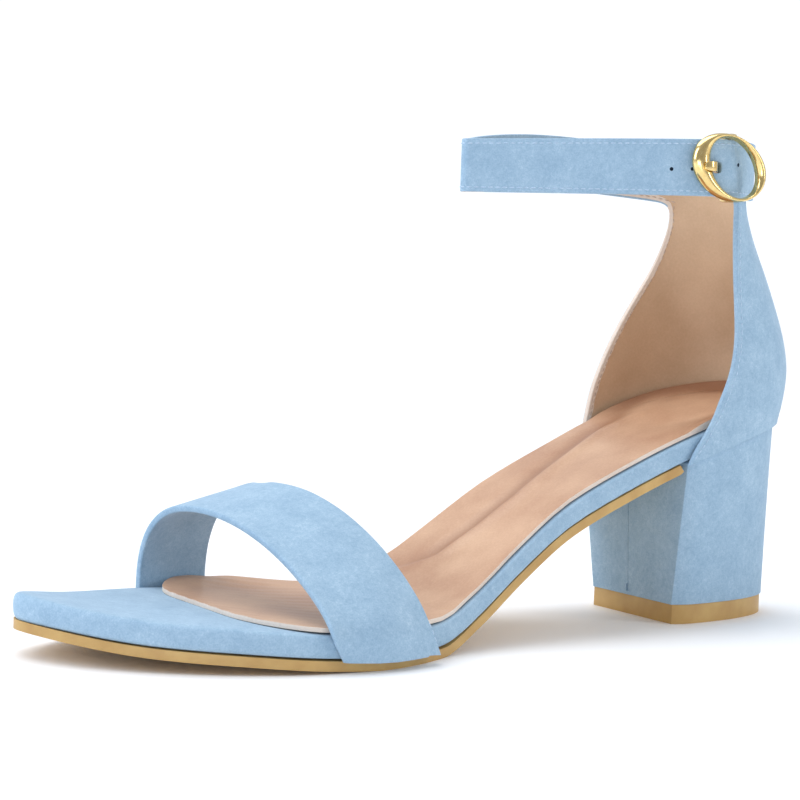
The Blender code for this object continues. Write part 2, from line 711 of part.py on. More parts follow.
def counter_and_ankle_strap(material):
    """The hollow back upper, with its tab round the bar and the hole that the prong uses."""
    item = wall_object(upper_sheet(), "upper_heel_counter_ankle_strap", material, 0.0)
    half = ANKLE_STRAP_WIDTH / 2
    apply_boolean(item, rod("sleeve", SLEEVE_RADIUS, -half, half), "UNION")
    apply_boolean(item, rod("bore", BAR_RADIUS + PIECE_GAP, -2 * half, 2 * half), "DIFFERENCE")
    slot = PRONG_WIDTH / 2 + PIECE_GAP
    reach = SLEEVE_RADIUS + 2 * PIECE_GAP
    apply_boolean(item, block("slot", (-reach, reach), (-reach, SLEEVE_RADIUS + PIECE_GAP / 2),
                              (-slot, slot)), "DIFFERENCE")
    hole = (PRONG_HOLE_FORWARD - PRONG_HOLE_LENGTH / 2, PRONG_HOLE_FORWARD + PRONG_HOLE_LENGTH / 2)
    through = (CROSSING_OFFSET - UPPER_WALL, CROSSING_OFFSET + UPPER_WALL)
    apply_boolean(item, block("prong_hole", hole, through, (-slot, slot)), "DIFFERENCE")
    return item


def band_base(share, side):
    """Foot of the band beside the footbed: its place, half width and top of the footbed."""
    if side > 0:
        x = SEAT_BACK_X + BAND_OUTER_FRONT + (BAND_OUTER_BACK - BAND_OUTER_FRONT) * share
        width = half_widths(share_of_length(x))[0]
    else:
        x = SEAT_BACK_X + BAND_INNER_FRONT + (BAND_INNER_BACK - BAND_INNER_FRONT) * share
        width = half_widths(share_of_length(x))[1]
    top = sole_height(x) - FOOTBED_DEPTH
    return x, side * (width + PIECE_GAP), top


def band_line(share):
    """One line of the band's inner face, from its inner foot over the toes to its outer foot."""
    outer_x, outer_y, outer_top = band_base(share, 1)
    inner_x, inner_y, inner_top = band_base(share, -1)
    peak_y = -BAND_PEAK_INWARD
    peak_share = (peak_y - inner_y) / (outer_y - inner_y)
    peak_x = inner_x + (outer_x - inner_x) * peak_share
    rise = BAND_FRONT_RISE + (BAND_BACK_RISE - BAND_FRONT_RISE) * share
    peak = sole_height(peak_x) + rise
    drop = FOOTBED_THICKNESS
    turn = np.linspace(math.pi / 2, 0, ARCH_STEPS + 1)
    inward = (peak_y - inner_y) * np.sin(turn) ** (2 / BAND_INNER_FULLNESS)
    inner_rise = (peak - inner_top) * np.cos(turn) ** (2 / BAND_INNER_STEEPNESS)
    inner_arch = np.column_stack([peak_y - inward, inner_top + inner_rise])
    outward = (outer_y - peak_y) * np.sin(turn) ** (2 / BAND_OUTER_FULLNESS)
    outer_rise = (peak - outer_top) * np.cos(turn) ** (2 / BAND_OUTER_STEEPNESS)
    outer_arch = np.column_stack([peak_y + outward, outer_top + outer_rise])[::-1]
    over = spread(np.vstack([inner_arch, outer_arch[1:]]), 2 * ARCH_STEPS + 1)
    sides = np.array([[inner_y, inner_top - drop], [inner_y, inner_top - drop / 2]])
    ends = np.array([[outer_y, outer_top - drop / 2], [outer_y, outer_top - drop]])
    line = np.vstack([sides, over, ends])
    across = (line[:, 0] - inner_y) / (outer_y - inner_y)
    x = inner_x + (outer_x - inner_x) * across
    x[-2:] -= BAND_OUTER_SWEEP * np.array([0.5, 1.0])
    return np.column_stack([x, line])


def toe_band(material):
    """The wide band over the toes, wrapped down both sides of the footbed."""
    mesh = bmesh.new()
    lines = [add_ring(mesh, band_line(share)) for share in np.linspace(0, 1, BAND_STEPS + 1)]
    for first, second in zip(lines, lines[1:]):
        bridge(mesh, first, second, closed=False)
    for face in mesh.faces:
        face.normal_update()
    crown = max(mesh.faces, key=lambda face: face.calc_center_median().z)
    sign = 1.0 if crown.normal.z > 0 else -1.0
    return wall_object(mesh, "upper_toe_strap", material, sign)


def ellipse_point(long, short, tilt, lead, angle):
    """A point of a tilted ellipse in the buckle's forward and up directions."""
    turn = math.radians(tilt)
    along = long * math.cos(angle - turn)
    across = short * math.sin(angle - turn)
    return Vector((lead + along * math.cos(turn) - across * math.sin(turn),
                   along * math.sin(turn) + across * math.cos(turn)))


def buckle_frame(material):
    """The domed ring, and its centre bar behind the strap, cast in one with two short posts."""
    mesh = bmesh.new()
    sections = []
    for step in range(RING_STEPS):
        angle = 2 * math.pi * step / RING_STEPS
        outer = ellipse_point(RING_OUTER_LONG, RING_OUTER_SHORT, RING_OUTER_TILT, RING_OUTER_LEAD,
                              angle)
        inner = ellipse_point(RING_INNER_LONG, RING_INNER_SHORT, RING_INNER_TILT, RING_INNER_LEAD,
                              angle)
        section = [(outer, 0.0)]
        section += [(outer.lerp(inner, dome.across), RING_HEIGHT * dome.height)
                    for dome in RING_DOME]
        section += [(inner, 0.0)]
        sections.append([mesh.verts.new(buckle_place(point.x, RING_OFFSET + height, point.y))
                         for point, height in section])
    for k in range(RING_STEPS):
        bridge(mesh, sections[k], sections[(k + 1) % RING_STEPS])
    item = finish(mesh, "buckle_frame", material)
    post_low = ANKLE_STRAP_WIDTH / 2 + PIECE_GAP
    post_high = post_low + POST_THICKNESS
    apply_boolean(item, rod("bar", BAR_RADIUS, -post_high, post_high, 16), "UNION")
    for ends in ((post_low, post_high), (-post_high, -post_low)):
        post = block("post", (-POST_WIDTH / 2, POST_WIDTH / 2),
                     (-BAR_RADIUS, RING_OFFSET + RING_HEIGHT / 4), ends)
        apply_boolean(item, post, "UNION")
    return item


def buckle_prong(material):
    """A flat prong: a loop round the bar, up through the strap's hole and over the ring."""
    loop = BAR_RADIUS + PIECE_GAP + PRONG_THICKNESS / 2
    crest = RING_OFFSET + RING_HEIGHT + PIECE_GAP + PRONG_THICKNESS / 2
    around = [(loop * math.cos(angle), loop * math.sin(angle))
              for angle in np.linspace(math.radians(PRONG_LOOP_START), 0, 14)]
    through = PRONG_HOLE_FORWARD
    lead = [(through - 0.18 * PRONG_REACH, loop),
            (through - 0.04 * PRONG_REACH, CROSSING_OFFSET),
            (through + 0.11 * PRONG_REACH, CROSSING_OFFSET + UPPER_WALL),
            (through + 0.44 * PRONG_REACH, crest - PRONG_ARCH),
            (through + 0.75 * PRONG_REACH, crest + PRONG_ARCH / 2),
            (through + PRONG_REACH, crest - PRONG_ARCH)]
    path = np.array(around + lead)
    mesh = bmesh.new()
    sections = []
    for k, (forward, outward) in enumerate(path):
        run = path[min(k + 1, len(path) - 1)] - path[max(k - 1, 0)]
        run = run / np.linalg.norm(run)
        side = np.array([-run[1], run[0]]) * PRONG_THICKNESS / 2
        half = PRONG_WIDTH / 2 * (PRONG_TIP_WIDTH if k == len(path) - 1 else 1.0)
        corners = ((side, -half), (side, half), (-side, half), (-side, -half))
        sections.append([mesh.verts.new(buckle_place(forward + s[0], outward + s[1], u))
                         for s, u in corners])
    for first, second in zip(sections, sections[1:]):
        bridge(mesh, first, second)
    add_face(mesh, sections[0])
    add_face(mesh, sections[-1])
    return finish(mesh, "buckle_prong", material)


def build():
    """Make every piece of the sandal."""
    clear_scene()
    suede = make_material("blue_suede_cloth", SUEDE_BLUE, 0.9)
    sock = make_material("tan_lining", SOCK_TAN, 0.5)
    rubber = make_material("tan_rubber", RUBBER_TAN, 0.55)
    gold = make_material("polished_gold", POLISHED_GOLD, 0.15, 1.0)
    footbed(suede)
    outsole(rubber)
    insole(sock)
    heel_block(suede)
    heel_top_piece(rubber)
    counter_and_ankle_strap(suede)
    toe_band(suede)
    buckle_frame(gold)
    buckle_prong(gold)


build()
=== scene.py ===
# %% [markdown]
# # Dressing a block heel sandal
# The measured solids of a left sandal come in as a fixed frame. This lesson gives them the
# surfaces of the real shoe: napped blue suede, a smooth tan lining, sewn edges, a moulded sole
# and a polished buckle. Each solid is replaced by a finer piece that is shaped from a copy of it,
# so every piece stays where the solids put it. Lengths are in metres, except the sizes of patterns
# and the places along the strap and the sock, which are in millimetres.

# %% Load the measured solids
from collections import namedtuple
import json
import math

import bpy
from mathutils import Matrix, Vector
from mathutils.bvhtree import BVHTree

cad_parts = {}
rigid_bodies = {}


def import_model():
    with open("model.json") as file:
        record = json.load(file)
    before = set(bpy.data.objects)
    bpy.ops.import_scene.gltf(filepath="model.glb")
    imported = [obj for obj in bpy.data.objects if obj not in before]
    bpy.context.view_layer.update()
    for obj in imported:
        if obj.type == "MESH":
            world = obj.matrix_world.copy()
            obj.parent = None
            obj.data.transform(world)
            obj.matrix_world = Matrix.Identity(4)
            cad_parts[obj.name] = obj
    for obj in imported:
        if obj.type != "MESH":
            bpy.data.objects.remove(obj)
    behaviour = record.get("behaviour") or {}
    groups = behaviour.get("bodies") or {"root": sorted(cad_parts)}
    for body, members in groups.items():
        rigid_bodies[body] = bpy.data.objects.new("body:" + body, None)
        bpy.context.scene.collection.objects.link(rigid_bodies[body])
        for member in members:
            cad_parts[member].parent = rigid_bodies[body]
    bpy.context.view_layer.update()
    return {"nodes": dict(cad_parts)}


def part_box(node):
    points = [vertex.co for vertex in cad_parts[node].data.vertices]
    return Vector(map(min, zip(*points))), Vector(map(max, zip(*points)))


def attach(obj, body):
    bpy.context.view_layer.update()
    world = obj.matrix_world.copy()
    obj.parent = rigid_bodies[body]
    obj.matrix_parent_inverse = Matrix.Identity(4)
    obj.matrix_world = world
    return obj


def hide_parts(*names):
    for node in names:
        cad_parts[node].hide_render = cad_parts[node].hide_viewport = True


for leftover in list(bpy.data.objects):
    bpy.data.objects.remove(leftover, do_unlink=True)
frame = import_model()
print("Solids:", ", ".join(sorted(frame["nodes"])))

# %% [markdown]
# ## Camera, floor and light
# The photograph is a plain studio packshot: a white sweep, a broad soft light overhead and white
# walls. The camera stands low on the outer side and looks a few degrees down at the shoe. A large
# lamp above gives the bright tops and the dark contact line, two tall soft boxes give the
# polished buckle something bright to mirror, and a low one fills the arch and the inside of the
# counter. The room itself is brighter behind the shoe than behind the camera. Each of those two
# ends is given as how far a direction points to the camera, and how bright the room is there.

# %% Camera
camera_data = bpy.data.cameras.new("photo_camera")
camera_data.lens = 87.19
camera_data.sensor_width = 36
camera_data.clip_start = 0.01
camera = bpy.data.objects.new("photo_camera", camera_data)
camera.location = (0.391462, 0.440612, 0.095234)
camera.rotation_euler = [math.radians(angle) for angle in (86.5740, -1.9756, 147.2243)]
bpy.context.collection.objects.link(camera)
bpy.context.scene.camera = camera
print("Camera distance:", round(camera.location.length, 3), "m")

# %% Colours and nodes
MILLIMETRE = 0.001


def linear(hex_colour):
    """Turn an sRGB hex colour into the linear values that shaders use."""
    channels = [int(hex_colour[i:i + 2], 16) / 255 for i in (1, 3, 5)]
    values = [c / 12.92 if c <= 0.04045 else ((c + 0.055) / 1.055) ** 2.4 for c in channels]
    return (*values, 1.0)


def add_node(material, kind, inputs=None, **settings):
    """Add a node with its settings, its input values and its links."""
    node = material.node_tree.nodes.new(kind)
    for setting, value in settings.items():
        setattr(node, setting, value)
    for socket, value in (inputs or {}).items():
        if isinstance(value, bpy.types.NodeSocket):
            material.node_tree.links.new(value, node.inputs[socket])
        else:
            node.inputs[socket].default_value = value
    return node


def new_material(name, **values):
    """Start a material from its Principled shader, with the values that are the same all over."""
    material = bpy.data.materials.new(name)
    material.use_nodes = True
    shader = material.node_tree.nodes["Principled BSDF"]
    for socket, value in values.items():
        shader.inputs[socket.replace("_", " ")].default_value = value
    return material, shader


def connect(material, shader, **sources):
    """Link outputs to the shader's inputs, by the names of the inputs."""
    for socket, source in sources.items():
        material.node_tree.links.new(source, shader.inputs[socket.replace("_", " ")])


def mixed(material, factor, first, second):
    """Mix two colours by a factor."""
    return add_node(material, "ShaderNodeMix", {0: factor, 6: first, 7: second},
                    data_type="RGBA").outputs[2]


def toned(material, value, *stops):
    """Colour a value through stops, each a place on the scale and a hex colour."""
    ramp = add_node(material, "ShaderNodeValToRGB", {"Fac": value})
    elements = ramp.color_ramp.elements
    for element, (place, colour) in zip(elements, (stops[0], stops[-1])):
        element.position = place
        element.color = linear(colour)
    for place, colour in stops[1:-1]:
        elements.new(place).color = linear(colour)
    return ramp.outputs["Color"]


def per_metre(size_in_mm):
    """Noise scale that repeats about once in a size given in millimetres."""
    return 1 / (size_in_mm * MILLIMETRE)


print("Mid grey in linear light:", [round(value, 3) for value in linear("#808080")[:3]])

# %% Floor
FLOOR_SIZE = 12
floor_paint, floor_shader = new_material("white_paper_sweep", Roughness=0.55, IOR=1.45)
floor_place = add_node(floor_paint, "ShaderNodeTexCoord")
floor_grain = add_node(floor_paint, "ShaderNodeTexNoise",
                       {"Vector": floor_place.outputs["Object"], "Scale": per_metre(30)})
floor_tone = mixed(floor_paint, floor_grain.outputs["Fac"], linear("#FCFCFC"), linear("#FFFFFF"))
connect(floor_paint, floor_shader, Base_Color=floor_tone)
bpy.ops.mesh.primitive_plane_add(size=FLOOR_SIZE, location=(0, 0, 0))
floor = bpy.context.active_object
floor.name = "white_sweep"
floor.data.materials.append(floor_paint)
print("Floor:", floor.name, FLOOR_SIZE, "m wide")

# %% Light
CAMERA_SIDE = (0.65, 0.76, 0.0)
BEHIND_SHOE = (-0.3, 0.82)
BEHIND_CAMERA = (0.9, 0.46)
BACKDROP_SEEN = 1.15
OVERHEAD_WAY = (-0.2, 0.36, -1.0)
OVERHEAD_POWER = 1.55
OVERHEAD_SPREAD = 50
world = bpy.data.worlds.new("white_studio")
bpy.context.scene.world = world
world.use_nodes = True
sky = world.node_tree.nodes["Background"]
sky.inputs["Color"].default_value = linear("#F4F8FF")
direction = add_node(world, "ShaderNodeTexCoord")
towards_camera = add_node(world, "ShaderNodeVectorMath",
                          {0: direction.outputs["Generated"], 1: CAMERA_SIDE},
                          operation="DOT_PRODUCT")
room = add_node(world, "ShaderNodeMapRange",
                {"Value": towards_camera.outputs["Value"],
                 "From Min": BEHIND_SHOE[0], "To Min": BEHIND_SHOE[1],
                 "From Max": BEHIND_CAMERA[0], "To Max": BEHIND_CAMERA[1]})
eye = add_node(world, "ShaderNodeLightPath")
seen = add_node(world, "ShaderNodeMix",
                {0: eye.outputs["Is Camera Ray"], 2: room.outputs["Result"],
                 3: BACKDROP_SEEN})
world.node_tree.links.new(seen.outputs[0], sky.inputs["Strength"])


def soft_box(name, place, target, width, height, power, colour):
    """A rectangular area light at a place, facing a target."""
    light = bpy.data.lights.new(name, "AREA")
    light.shape = "RECTANGLE"
    light.size = width
    light.size_y = height
    light.energy = power
    light.color = linear(colour)[:3]
    lamp = bpy.data.objects.new(name, light)
    lamp.location = place
    towards = Vector(target) - Vector(place)
    lamp.rotation_euler = towards.to_track_quat("-Z", "Y").to_euler()
    bpy.context.collection.objects.link(lamp)


overhead = bpy.data.lights.new("overhead_light", "SUN")
overhead.energy = OVERHEAD_POWER
overhead.angle = math.radians(OVERHEAD_SPREAD)
overhead_lamp = bpy.data.objects.new("overhead_light", overhead)
overhead_lamp.rotation_euler = Vector(OVERHEAD_WAY).to_track_quat("-Z", "Y").to_euler()
bpy.context.collection.objects.link(overhead_lamp)
soft_box("toe_side_box", (0.9, -0.15, 0.48), (0.08, 0, 0.04), 0.35, 0.6, 3.0, "#E6F0FF")
soft_box("heel_side_box", (-0.6, 0.75, 0.5), (0.02, 0, 0.06), 0.2, 0.7, 2.5, "#FFFFFF")
soft_box("low_front_box", (0.55, 0.45, 0.06), (0.03, 0, 0.02), 0.4, 0.1, 0.5, "#DDEAFF")
bpy.context.scene.view_settings.view_transform = "Standard"

# %% [markdown]
# ## Blue suede
# The shoe is covered in a light blue microfibre suede: a woven backing with a brushed face of
# very short polyester fibres, about 0.3 mm long. The fibres make it fully matt, give it a pale
# sheen at grazing angles, and lie in soft patches where they were brushed. The patches are drawn
# 7 mm wide, the pebbles 1.4 mm, and the fibres 0.4 mm, a little coarser than they are, so that
# they show.

# %% Blue suede
SUEDE_SHADOW = "#8EABC2"
SUEDE_BODY = "#A1BCD0"
SUEDE_LIGHT = "#BFD3E2"
BRUSHED_PATCH = 7
PEBBLE = 1.4
FIBRE = 0.4
NAP_RELIEF = 0.25 * MILLIMETRE


def suede(name, shadow, body, light):
    """Brushed microfibre: three sizes of patch in its colour and bump, and a pale sheen."""
    material, shader = new_material(name, Roughness=0.92, IOR=1.5, Sheen_Weight=0.3,
                                    Sheen_Roughness=0.35, Sheen_Tint=linear("#DCE8F4"),
                                    Specular_IOR_Level=0.25)
    place = add_node(material, "ShaderNodeTexCoord").outputs["Object"]
    brushed = add_node(material, "ShaderNodeTexNoise",
                       {"Vector": place, "Scale": per_metre(BRUSHED_PATCH), "Detail": 3.0})
    pebble = add_node(material, "ShaderNodeTexNoise",
                      {"Vector": place, "Scale": per_metre(PEBBLE), "Detail": 3.0,
                       "Roughness": 0.6, "Distortion": 0.4})
    fibre = add_node(material, "ShaderNodeTexNoise",
                     {"Vector": place, "Scale": per_metre(FIBRE), "Detail": 2.0})
    fine = add_node(material, "ShaderNodeMath",
                    {0: fibre.outputs["Fac"], 1: 0.35}, operation="MULTIPLY")
    middle = add_node(material, "ShaderNodeMath",
                      {0: pebble.outputs["Fac"], 1: 0.35, 2: fine.outputs[0]},
                      operation="MULTIPLY_ADD")
    nap = add_node(material, "ShaderNodeMath",
                   {0: brushed.outputs["Fac"], 1: 0.3, 2: middle.outputs[0]},
                   operation="MULTIPLY_ADD")
    tone = toned(material, nap.outputs[0], (0.38, shadow), (0.57, body), (0.76, light))
    relief = add_node(material, "ShaderNodeBump",
                      {"Height": middle.outputs[0], "Strength": 0.35,
                       "Distance": NAP_RELIEF})
    connect(material, shader, Base_Color=tone, Normal=relief.outputs["Normal"])
    return material


blue_suede = suede("blue_microfibre_suede", SUEDE_SHADOW, SUEDE_BODY, SUEDE_LIGHT)
print("Suede nodes:", len(blue_suede.node_tree.nodes))

# %% [markdown]
# ## Tan lining, rubber and gold plate
# The lining and the sock are smooth coated leather, with pores about 0.6 mm apart and a satin
# finish. The outsole and the heel's top piece are moulded rubber in a golden tan. The buckle is
# cast zinc, tumbled smooth and plated with gold, so it mirrors the room with a slight waviness.

# %% Tan lining
def coated_leather(name, dark, light, roughness):
    """Smooth coated leather: soft clouds of colour, fine pores and a satin gloss."""
    material, shader = new_material(name, IOR=1.5, Specular_IOR_Level=0.4)
    place = add_node(material, "ShaderNodeTexCoord").outputs["Object"]
    cloud = add_node(material, "ShaderNodeTexNoise",
                     {"Vector": place, "Scale": per_metre(18), "Detail": 3.0})
    pores = add_node(material, "ShaderNodeTexVoronoi",
                     {"Vector": place, "Scale": per_metre(0.6)}, feature="SMOOTH_F1")
    blend = add_node(material, "ShaderNodeMath",
                     {0: pores.outputs["Distance"], 1: 0.22, 2: cloud.outputs["Fac"]},
                     operation="MULTIPLY_ADD")
    tone = toned(material, blend.outputs[0], (0.36, dark), (0.82, light))
    gloss = add_node(material, "ShaderNodeMapRange",
                     {"Value": cloud.outputs["Fac"], "To Min": roughness - 0.06,
                      "To Max": roughness + 0.08})
    relief = add_node(material, "ShaderNodeBump",
                      {"Height": pores.outputs["Distance"], "Strength": 0.12,
                       "Distance": 0.15 * MILLIMETRE})
    connect(material, shader, Base_Color=tone, Roughness=gloss.outputs[0],
            Normal=relief.outputs["Normal"])
    return material


def paint_shade_by_attribute(material, attribute, colour):
    """Paint shade into a leather: mix its colour towards a darker one by a value stored on its
    points.
    """
    shader = material.node_tree.nodes["Principled BSDF"]
    painted_shade = add_node(material, "ShaderNodeAttribute", attribute_name=attribute)
    unshaded = shader.inputs["Base Color"].links[0].from_socket
    connect(material, shader,
            Base_Color=mixed(material, painted_shade.outputs["Fac"], unshaded, linear(colour)))


sock_leather = coated_leather("tan_sock_leather", "#B68869", "#D2AA89", 0.38)
# Painted shade: the sock is mixed towards dark brown beside its crease and in the cup of its seat,
# by a value stored on each point.
paint_shade_by_attribute(sock_leather, "painted_shade", "#8A5A3E")
lining_leather = coated_leather("tan_lining_leather", "#C1A07F", "#D5B594", 0.55)
pale_edge = coated_leather("pale_folded_edge", "#D9C5B4", "#E8DACB", 0.6)
print("Leathers:", sock_leather.name, lining_leather.name, pale_edge.name)

# %% Rubber and gold plate
def moulded_rubber(name, dark, light):
    """Golden tan rubber from a smooth mould, faintly clouded and scuffed."""
    material, shader = new_material(name, IOR=1.52, Specular_IOR_Level=0.45)
    place = add_node(material, "ShaderNodeTexCoord").outputs["Object"]
    cloud = add_node(material, "ShaderNodeTexNoise",
                     {"Vector": place, "Scale": per_metre(9), "Detail": 4.0})
    grit = add_node(material, "ShaderNodeTexNoise",
                    {"Vector": place, "Scale": per_metre(0.5), "Detail": 2.0})
    tone = toned(material, cloud.outputs["Fac"], (0.3, dark), (0.75, light))
    gloss = add_node(material, "ShaderNodeMapRange",
                     {"Value": grit.outputs["Fac"], "To Min": 0.36, "To Max": 0.55})
    relief = add_node(material, "ShaderNodeBump",
                      {"Height": grit.outputs["Fac"], "Strength": 0.2,
                       "Distance": 0.1 * MILLIMETRE})
    connect(material, shader, Base_Color=tone, Roughness=gloss.outputs[0],
            Normal=relief.outputs["Normal"])
    return material


sole_rubber = moulded_rubber("golden_tan_rubber", "#B48C50", "#CBA767")


def plated_metal(name, dark, light):
    """Gold plate over tumbled zinc: a mirror with slow waves and a few rubbed patches."""
    material, shader = new_material(name, Metallic=1.0)
    place = add_node(material, "ShaderNodeTexCoord").outputs["Object"]
    wave = add_node(material, "ShaderNodeTexNoise",
                    {"Vector": place, "Scale": per_metre(4), "Detail": 1.0})
    rubbed = add_node(material, "ShaderNodeTexNoise",
                      {"Vector": place, "Scale": per_metre(1.2), "Detail": 3.0})
    tone = mixed(material, rubbed.outputs["Fac"], linear(dark), linear(light))
    gloss = add_node(material, "ShaderNodeMapRange",
                     {"Value": rubbed.outputs["Fac"], "To Min": 0.08, "To Max": 0.2})
    relief = add_node(material, "ShaderNodeBump",
                      {"Height": wave.outputs["Fac"], "Strength": 0.25,
                       "Distance": 0.3 * MILLIMETRE})
    connect(material, shader, Base_Color=tone, Roughness=gloss.outputs[0],
            Normal=relief.outputs["Normal"])
    return material


gold_plate = plated_metal("gold_plated_zinc", "#DDBB74", "#F1D99C")


def sewing_thread(name, dark, light):
    """Bonded polyester thread, its twist drawn as fine patches along the stitch."""
    material, shader = new_material(name, Roughness=0.7, Sheen_Weight=0.2, IOR=1.5)
    place = add_node(material, "ShaderNodeTexCoord").outputs["Object"]
    twist = add_node(material, "ShaderNodeTexNoise",
                     {"Vector": place, "Scale": per_metre(0.3), "Detail": 1.0})
    tone = mixed(material, twist.outputs["Fac"], linear(dark), linear(light))
    relief = add_node(material, "ShaderNodeBump",
                      {"Height": twist.outputs["Fac"], "Strength": 0.4,
                       "Distance": 0.1 * MILLIMETRE})
    connect(material, shader, Base_Color=tone, Normal=relief.outputs["Normal"])
    return material


blue_thread = sewing_thread("blue_polyester_thread", "#8DAECB", "#CFE0EE")
tan_thread = sewing_thread("tan_polyester_thread", "#A98B74", "#D9C4B1")
print("Materials:", len(bpy.data.materials))

# %% [markdown]
# ## Copies that can be shaped
# A solid arrives as loose triangles. Its copy is welded, and its triangles are joined back into
# quads, because insets and subdivision follow quads cleanly. Faces are chosen in code by where
# they are and where they point, and everything is deselected first, since each operator acts on
# all that is selected.

# %% Copy, choose and shape
QUAD_ANGLE = math.radians(60)
UP_FACING = 0.5
WELD_DISTANCE = 0.01 * MILLIMETRE
bpy.context.tool_settings.mesh_select_mode = (False, False, True)


def pick(item):
    """Make one object the only selected and active one."""
    if bpy.context.object and bpy.context.object.mode != "OBJECT":
        bpy.ops.object.mode_set(mode="OBJECT")
    bpy.ops.object.select_all(action="DESELECT")
    item.select_set(True)
    bpy.context.view_layer.objects.active = item


def welded_copy(node, name, *materials):
    """Copy a solid under a new name, weld it and join its triangles into quads."""
    piece = bpy.data.objects.new(name, frame["nodes"][node].data.copy())
    piece.data.name = name
    bpy.context.collection.objects.link(piece)
    piece.data.materials.clear()
    for material in materials:
        piece.data.materials.append(material)
    pick(piece)
    bpy.ops.object.mode_set(mode="EDIT")
    bpy.ops.mesh.select_all(action="SELECT")
    bpy.ops.mesh.remove_doubles(threshold=WELD_DISTANCE)
    bpy.ops.mesh.tris_convert_to_quads(face_threshold=QUAD_ANGLE, shape_threshold=QUAD_ANGLE)
    bpy.ops.mesh.faces_shade_smooth()
    bpy.ops.object.mode_set(mode="OBJECT")
    if "custom_normal" in piece.data.attributes:
        piece.data.attributes.remove(piece.data.attributes["custom_normal"])
    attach(piece, "root")
    return piece


def choose_faces(piece, test):
    """Select only the faces that pass a test, and stay in edit mode."""
    pick(piece)
    mesh = piece.data
    for group in (mesh.vertices, mesh.edges, mesh.polygons):
        group.foreach_set("select", [False] * len(group))
    chosen = [face for face in mesh.polygons if test(face)]
    for face in chosen:
        face.select = True
    bpy.ops.object.mode_set(mode="EDIT")
    return len(chosen)


def assign_selected(slot):
    """Give the selected faces the material in a slot of their piece."""
    bpy.context.object.active_material_index = slot
    bpy.ops.object.material_slot_assign()


def crease_sharp_edges(piece, angle):
    """Mark the edges sharper than an angle, so that subdivision keeps them."""
    pick(piece)
    bpy.ops.object.mode_set(mode="EDIT")
    bpy.ops.mesh.select_mode(type="EDGE")
    bpy.ops.mesh.select_all(action="DESELECT")
    bpy.ops.mesh.edges_select_sharp(sharpness=math.radians(angle))
    bpy.ops.transform.edge_crease(value=1.0)
    bpy.ops.mesh.select_mode(type="FACE")
    bpy.ops.object.mode_set(mode="OBJECT")


def keep_crisp(piece, test):
    """Crease the edges round the faces that pass a test, so that their corners stay square."""
    if choose_faces(piece, test):
        bpy.ops.transform.edge_crease(value=1.0)
    bpy.ops.object.mode_set(mode="OBJECT")


def apply_modifier(piece, kind, **settings):
    """Add a modifier, set it and apply it."""
    pick(piece)
    modifier = piece.modifiers.new(kind.lower(), kind)
    for setting, value in settings.items():
        setattr(modifier, setting, value)
    bpy.ops.object.modifier_apply(modifier=modifier.name)


def crease_corner(piece, place):
    """Keep the two points nearest to a place, one on each wall, as sharp corners."""
    mesh = piece.data
    crease = (mesh.attributes.get("crease_vert")
              or mesh.attributes.new("crease_vert", "FLOAT", "POINT"))
    nearest = sorted(mesh.vertices, key=lambda point: (point.co - place).length)[:2]
    for point in nearest:
        crease.data[point.index].value = 1.0


def soften(piece, levels, edge=0.0, smooth_angle=40):
    """Subdivide a piece, round its sharp edges a little and shade it smooth."""
    apply_modifier(piece, "SUBSURF", levels=levels, render_levels=levels)
    if edge:
        apply_modifier(piece, "BEVEL", width=edge, segments=3, limit_method="ANGLE",
                       angle_limit=math.radians(40))
    bpy.ops.object.shade_smooth_by_angle(angle=math.radians(smooth_angle))


print("Faces are selected by", bpy.context.tool_settings.mesh_select_mode[:])

# %% [markdown]
# ## Sewn edges
# A strap's edge is folded over its lining and sewn 1.4 mm from the fold, at 2 mm a stitch. Two
# narrow insets along the edge give it a tight roll and a row to sew along. The row is read back
# as points, and one modelled stitch is copied along it, each copy sunk into the surface.

# %% Rows and stitches
FOLD_ROLL = 0.5 * MILLIMETRE
STITCH_FROM_EDGE = 1.4 * MILLIMETRE
STITCH_PITCH = 2.0 * MILLIMETRE
STITCH_LENGTH = 1.45 * MILLIMETRE
THREAD_THICKNESS = 0.42 * MILLIMETRE


def inset_edge(width):
    """Inset the selected faces from their border, without spikes at small corners."""
    bpy.ops.mesh.inset(thickness=width, depth=0, use_even_offset=False)


def border_rows(piece):
    """Points along the borders of the selected faces, a list for each closed row."""
    pick(piece)
    uses = {}
    for face in piece.data.polygons:
        if face.select:
            for edge in face.edge_keys:
                uses[edge] = uses.get(edge, 0) + 1
    steps = {}
    for (first, second), count in uses.items():
        if count == 1:
            steps.setdefault(first, []).append(second)
            steps.setdefault(second, []).append(first)
    rows = []
    while steps:
        row = [min(steps)]
        while steps.get(row[-1]):
            following = steps[row[-1]].pop()
            steps[following].remove(row[-1])
            row.append(following)
        rows.append([piece.data.vertices[i].co.copy() for i in row])
        steps = {corner: ends for corner, ends in steps.items() if ends}
    return rows


def evenly(row, pitch):
    """Places and directions at equal steps along a row of points."""
    steps = []
    ahead = pitch / 2
    for first, second in zip(row, row[1:]):
        length = (second - first).length
        while ahead < length:
            steps.append((first.lerp(second, ahead / length), (second - first).normalized()))
            ahead += pitch
        ahead -= length
    return steps


def surface_of(piece):
    """A search tree of a piece's faces."""
    corners = [vertex.co.copy() for vertex in piece.data.vertices]
    return BVHTree.FromPolygons(corners, [tuple(face.vertices) for face in piece.data.polygons])


